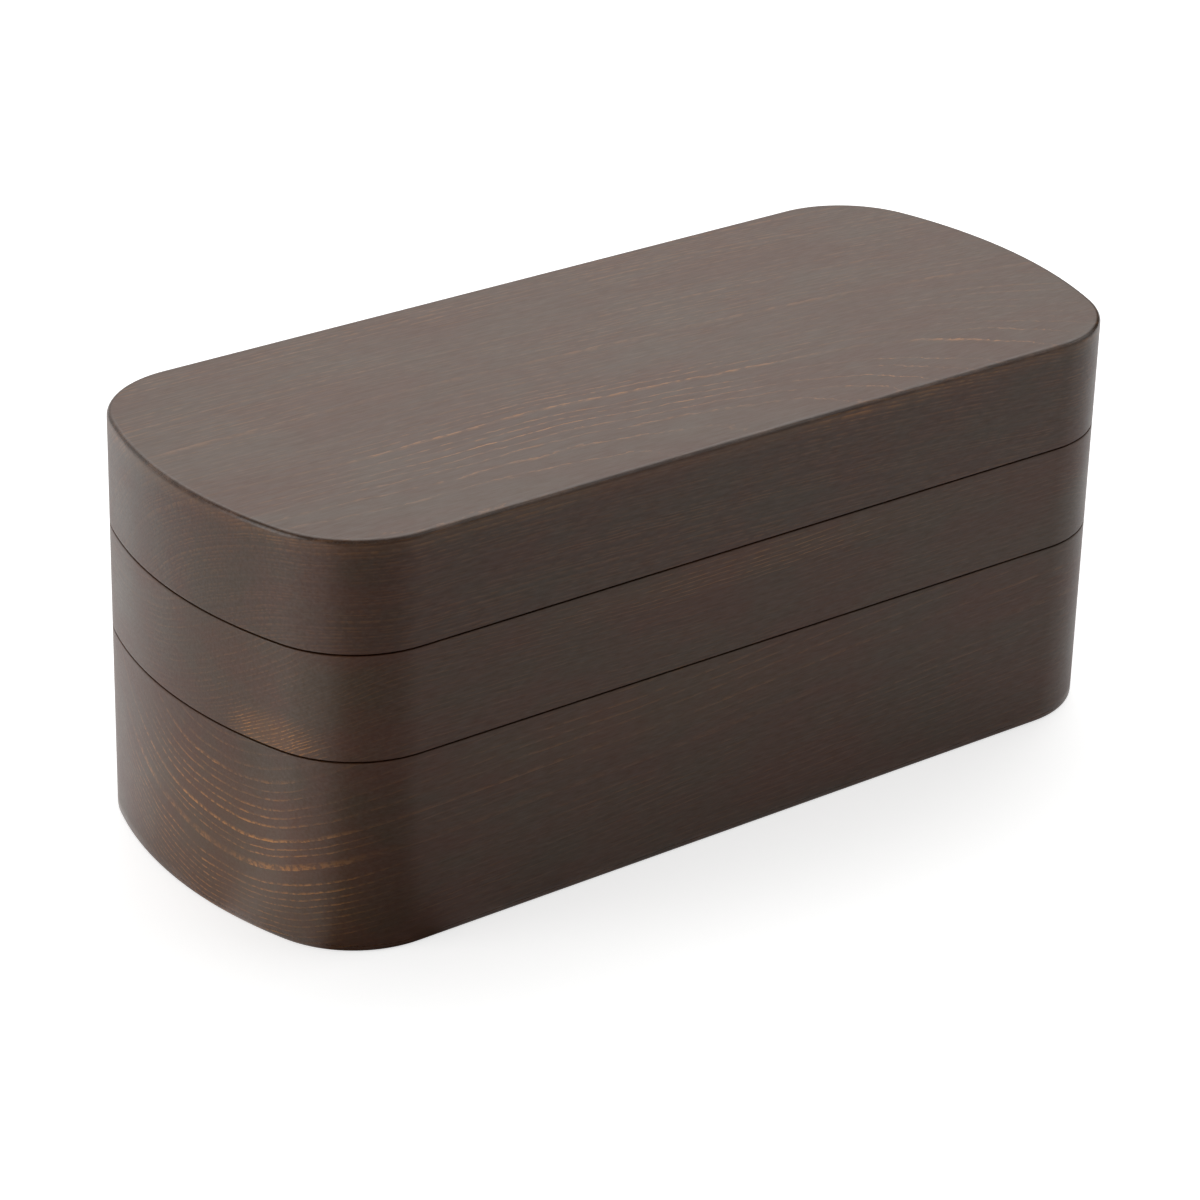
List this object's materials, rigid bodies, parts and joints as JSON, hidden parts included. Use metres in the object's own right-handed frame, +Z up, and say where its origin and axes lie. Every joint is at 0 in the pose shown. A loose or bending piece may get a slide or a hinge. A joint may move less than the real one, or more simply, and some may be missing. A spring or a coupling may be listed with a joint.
{
  "type": "two-tier bento box",
  "caption": "Slim stacking lunch box of dark solid wood with bowed ends: a deep tier, a shallow tier and a hollow wooden lid on raised lips, with loose dividers and a soft inner lid.",
  "frame": {"origin": "centre of the underside, where the box stands", "axes": "+X along the box, +Y across it, +Z up through the lid"},
  "size_m": [0.205, 0.0878, 0.0844],
  "materials": {
    "lower_tier_wood": "solid wood, dark stain under wiped satin lacquer",
    "upper_tier_wood": "solid wood, dark stain under wiped satin lacquer",
    "lid_wood": "solid wood, dark stain under wiped satin lacquer",
    "inner_lid_plastic": "soft milky polyethylene",
    "divider_wood": "thin sawn board, dark stain under wiped satin lacquer"
  },
  "bodies": {
    "lower_tier": {"lower_tier": "lower_tier_wood"},
    "upper_tier": {"upper_tier": "upper_tier_wood"},
    "inner_lid": {"inner_lid": "inner_lid_plastic"},
    "lid": {"lid": "lid_wood"},
    "lower_divider": {"lower_divider": "divider_wood"},
    "upper_divider": {"upper_divider": "divider_wood"}
  },
  "joints": [
    {"name": "upper_tier_lift", "type": "slide", "parent": "lower_tier", "child": "upper_tier", "axis": [0, 0, 1], "range_m": [0, 0.12]},
    {"name": "inner_lid_lift", "type": "slide", "parent": "upper_tier", "child": "inner_lid", "axis": [0, 0, 1], "range_m": [0, 0.06]},
    {"name": "lid_lift", "type": "slide", "parent": "inner_lid", "child": "lid", "axis": [0, 0, 1], "range_m": [0, 0.1]},
    {"name": "lower_divider_slide", "type": "slide", "parent": "lower_tier", "child": "lower_divider", "axis": [1, 0, 0], "range_m": [-0.103, 0.047]},
    {"name": "upper_divider_slide", "type": "slide", "parent": "upper_tier", "child": "upper_divider", "axis": [1, 0, 0], "range_m": [-0.053, 0.097]}
  ]
}
